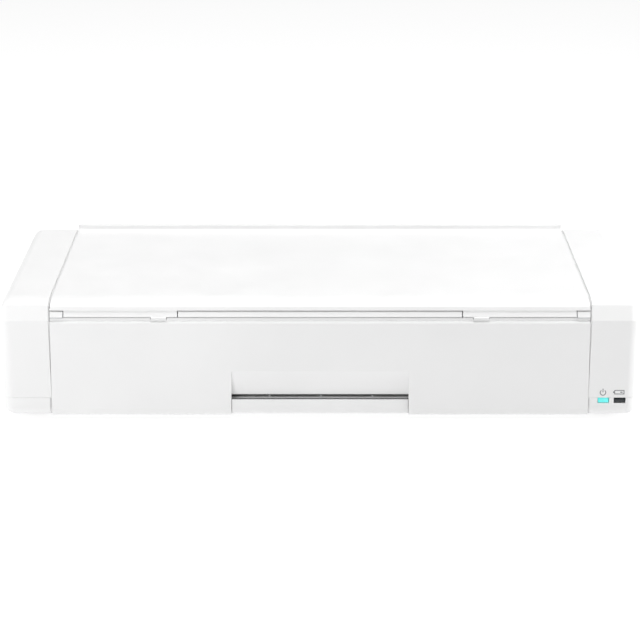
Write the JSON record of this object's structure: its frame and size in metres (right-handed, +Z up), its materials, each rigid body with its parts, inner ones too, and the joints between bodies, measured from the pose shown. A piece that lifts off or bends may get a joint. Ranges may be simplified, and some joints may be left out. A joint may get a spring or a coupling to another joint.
{
  "type": "inkjet printer",
  "caption": "Portable inkjet printer with a hinged lid that becomes the paper support, a front cover, a sheet feeder and a print carriage.",
  "frame": {"origin": "centre of the footprint, on the surface that the feet stand on", "axes": "+X to the right seen from the front, +Y to the rear, +Z up"},
  "size_m": [0.3088, 0.155, 0.061],
  "materials": {
    "white_shell": "fine satin texture",
    "grey_plastic": "satin",
    "dark_plastic": "satin",
    "black_plastic": "satin",
    "steel": "brushed",
    "rubber": "matt",
    "gear_plastic": "satin",
    "display_glass": "polished",
    "red_plastic": "satin",
    "green_plastic": "satin",
    "lit_light_pipe": "lit from behind",
    "dark_light_pipe": "unlit",
    "friction_pad": "matt",
    "clear_film": "clear film",
    "circuit_board": "solder mask"
  },
  "bodies": {
    "base": {"lower_case": "white_shell", "left_side_cover": "white_shell", "right_side_cover": "white_shell", "rear_cover": "white_shell", "rubber_foot_front_left": "rubber", "rubber_foot_front_right": "rubber", "rubber_foot_rear_left": "rubber", "rubber_foot_rear_right": "rubber", "lid_hinge_pin_left": "steel", "lid_hinge_pin_right": "steel", "control_deck": "grey_plastic", "cartridge_cover": "grey_plastic", "display_window": "display_glass", "display_panel": "black_plastic", "status_light_pipe": "lit_light_pipe", "battery_light_pipe": "dark_light_pipe", "feeder_chute": "grey_plastic", "separation_pad": "friction_pad", "main_frame": "steel", "platen": "black_plastic", "feed_motor": "steel", "timing_belt": "rubber", "carriage_motor": "steel", "encoder_strip": "clear_film", "maintenance_box": "dark_plastic", "main_board": "circuit_board", "battery_pack": "dark_plastic"},
    "lid": {"lid_shell": "white_shell", "lid_liner": "grey_plastic"},
    "extension": {"support_extension": "white_shell"},
    "front_door": {"front_cover": "white_shell"},
    "left_guide": {"edge_guide_left": "dark_plastic"},
    "right_guide": {"edge_guide_right": "dark_plastic"},
    "guide_wheel": {"guide_pinion": "gear_plastic"},
    "hopper": {"hopper_plate": "dark_plastic"},
    "feed_shaft": {"feed_roller": "rubber"},
    "main_shaft": {"main_roller": "steel", "main_gear": "gear_plastic"},
    "pinion": {"motor_pinion": "gear_plastic"},
    "idler": {"idler_gear": "gear_plastic"},
    "eject_shaft": {"eject_roller": "rubber"},
    "left_pinch": {"pinch_roller_left": "rubber"},
    "right_pinch": {"pinch_roller_right": "rubber"},
    "carriage": {"carriage_body": "black_plastic", "black_cartridge": "black_plastic", "colour_cartridge": "dark_plastic"},
    "belt_drive": {"drive_pulley": "gear_plastic"},
    "belt_idler": {"idler_pulley": "gear_plastic"},
    "capping": {"cap_station": "dark_plastic"},
    "maintenance_door": {"maintenance_cover": "white_shell"},
    "captive_screw": {"maintenance_screw": "steel"},
    "power_button_cap": {"power_button": "dark_plastic"},
    "home_button_cap": {"home_button": "dark_plastic"},
    "up_button_cap": {"up_button": "dark_plastic"},
    "down_button_cap": {"down_button": "dark_plastic"},
    "left_button_cap": {"left_button": "dark_plastic"},
    "right_button_cap": {"right_button": "dark_plastic"},
    "ok_button_cap": {"ok_button": "dark_plastic"},
    "stop_button_cap": {"stop_button": "red_plastic"},
    "start_button_cap": {"start_button": "green_plastic"}
  },
  "joints": [
    {"name": "lid_hinge", "type": "hinge", "parent": "base", "child": "lid", "pos_m": [0, 0.0745, 0.055], "axis": [-1, 0, 0], "range_deg": [0, 118]},
    {"name": "extension_slide", "type": "slide", "parent": "lid", "child": "extension", "axis": [0, -1, 0], "range_m": [0, 0.036]},
    {"name": "front_cover_hinge", "type": "hinge", "parent": "base", "child": "front_door", "pos_m": [0, -0.0752, 0.0478], "axis": [-1, 0, 0], "range_deg": [0, 90]},
    {"name": "left_guide_slide", "type": "slide", "parent": "base", "child": "left_guide", "axis": [1, 0, 0], "range_m": [0, 0.06]},
    {"name": "right_guide_slide", "type": "slide", "parent": "base", "child": "right_guide", "axis": [-1, 0, 0], "range_m": [0, 0.06]},
    {"name": "guide_pinion_spin", "type": "hinge", "parent": "base", "child": "guide_wheel", "pos_m": [-0.004, 0.031, 0.0452], "axis": [0, 0, -1], "range_deg": [0, 690]},
    {"name": "hopper_lift", "type": "hinge", "parent": "base", "child": "hopper", "pos_m": [0, 0.064, 0.042], "axis": [-1, 0, 0], "range_deg": [0, 9]},
    {"name": "feed_roller_spin", "type": "hinge", "parent": "base", "child": "feed_shaft", "pos_m": [0, 0.0482, 0.0384], "axis": [1, 0, 0], "continuous": true},
    {"name": "main_roller_spin", "type": "hinge", "parent": "base", "child": "main_shaft", "pos_m": [0, 0.012, 0.017], "axis": [1, 0, 0], "continuous": true},
    {"name": "motor_pinion_spin", "type": "hinge", "parent": "base", "child": "pinion", "pos_m": [-0.14, 0.0272, 0.014], "axis": [1, 0, 0], "continuous": true},
    {"name": "idler_gear_spin", "type": "hinge", "parent": "base", "child": "idler", "pos_m": [-0.14, -0.0151, 0.0277], "axis": [1, 0, 0], "continuous": true},
    {"name": "eject_roller_spin", "type": "hinge", "parent": "base", "child": "eject_shaft", "pos_m": [0, -0.04, 0.018], "axis": [1, 0, 0], "continuous": true},
    {"name": "left_pinch_spin", "type": "hinge", "parent": "base", "child": "left_pinch", "pos_m": [-0.06, 0.012, 0.0251], "axis": [1, 0, 0], "continuous": true},
    {"name": "right_pinch_spin", "type": "hinge", "parent": "base", "child": "right_pinch", "pos_m": [0.051, 0.012, 0.0251], "axis": [1, 0, 0], "continuous": true},
    {"name": "carriage_slide", "type": "slide", "parent": "base", "child": "carriage", "axis": [-1, 0, 0], "range_m": [0, 0.237]},
    {"name": "drive_pulley_spin", "type": "hinge", "parent": "base", "child": "belt_drive", "pos_m": [-0.142, 0.0098, 0.039], "axis": [0, 1, 0], "range_deg": [0, 3400]},
    {"name": "idler_pulley_spin", "type": "hinge", "parent": "base", "child": "belt_idler", "pos_m": [0.1425, 0.0098, 0.039], "axis": [0, 1, 0], "range_deg": [0, 3400]},
    {"name": "cap_drop", "type": "slide", "parent": "base", "child": "capping", "axis": [0, 0, -1], "range_m": [0, 0.0025], "stiffness_N_per_m": 250, "springref_m": -0.004},
    {"name": "maintenance_cover_slide", "type": "slide", "parent": "base", "child": "maintenance_door", "axis": [0, 1, 0], "range_m": [0, 0.02]},
    {"name": "maintenance_screw_turn", "type": "hinge", "parent": "maintenance_door", "child": "captive_screw", "pos_m": [0.1115, 0.077, 0.0115], "axis": [0, 1, 0], "continuous": true},
    {"name": "power_button_press", "type": "slide", "parent": "base", "child": "power_button_cap", "axis": [0, 0, -1], "range_m": [0, 0.0007], "stiffness_N_per_m": 400, "springref_m": -0.0008},
    {"name": "home_button_press", "type": "slide", "parent": "base", "child": "home_button_cap", "axis": [0, 0, -1], "range_m": [0, 0.0007], "stiffness_N_per_m": 400, "springref_m": -0.0008},
    {"name": "up_button_press", "type": "slide", "parent": "base", "child": "up_button_cap", "axis": [0, 0, -1], "range_m": [0, 0.0007], "stiffness_N_per_m": 400, "springref_m": -0.0008},
    {"name": "down_button_press", "type": "slide", "parent": "base", "child": "down_button_cap", "axis": [0, 0, -1], "range_m": [0, 0.0007], "stiffness_N_per_m": 400, "springref_m": -0.0008},
    {"name": "left_button_press", "type": "slide", "parent": "base", "child": "left_button_cap", "axis": [0, 0, -1], "range_m": [0, 0.0007], "stiffness_N_per_m": 400, "springref_m": -0.0008},
    {"name": "right_button_press", "type": "slide", "parent": "base", "child": "right_button_cap", "axis": [0, 0, -1], "range_m": [0, 0.0007], "stiffness_N_per_m": 400, "springref_m": -0.0008},
    {"name": "ok_button_press", "type": "slide", "parent": "base", "child": "ok_button_cap", "axis": [0, 0, -1], "range_m": [0, 0.0007], "stiffness_N_per_m": 400, "springref_m": -0.0008},
    {"name": "stop_button_press", "type": "slide", "parent": "base", "child": "stop_button_cap", "axis": [0, 0, -1], "range_m": [0, 0.0007], "stiffness_N_per_m": 400, "springref_m": -0.0008},
    {"name": "start_button_press", "type": "slide", "parent": "base", "child": "start_button_cap", "axis": [0, 0, -1], "range_m": [0, 0.0007], "stiffness_N_per_m": 400, "springref_m": -0.0008}
  ],
  "couplings": [
    {"joint": "right_guide_slide", "follows": "left_guide_slide", "ratio": 1},
    {"joint": "guide_pinion_spin", "follows": "left_guide_slide", "rad_per_m": 200},
    {"joint": "motor_pinion_spin", "follows": "main_roller_spin", "ratio": -2.875},
    {"joint": "idler_gear_spin", "follows": "main_roller_spin", "ratio": -0.67647},
    {"joint": "eject_roller_spin", "follows": "main_roller_spin", "ratio": 1.15},
    {"joint": "left_pinch_spin", "follows": "main_roller_spin", "ratio": -1.7857},
    {"joint": "right_pinch_spin", "follows": "main_roller_spin", "ratio": -1.7857},
    {"joint": "drive_pulley_spin", "follows": "carriage_slide", "rad_per_m": 250},
    {"joint": "idler_pulley_spin", "follows": "carriage_slide", "rad_per_m": 250}
  ]
}
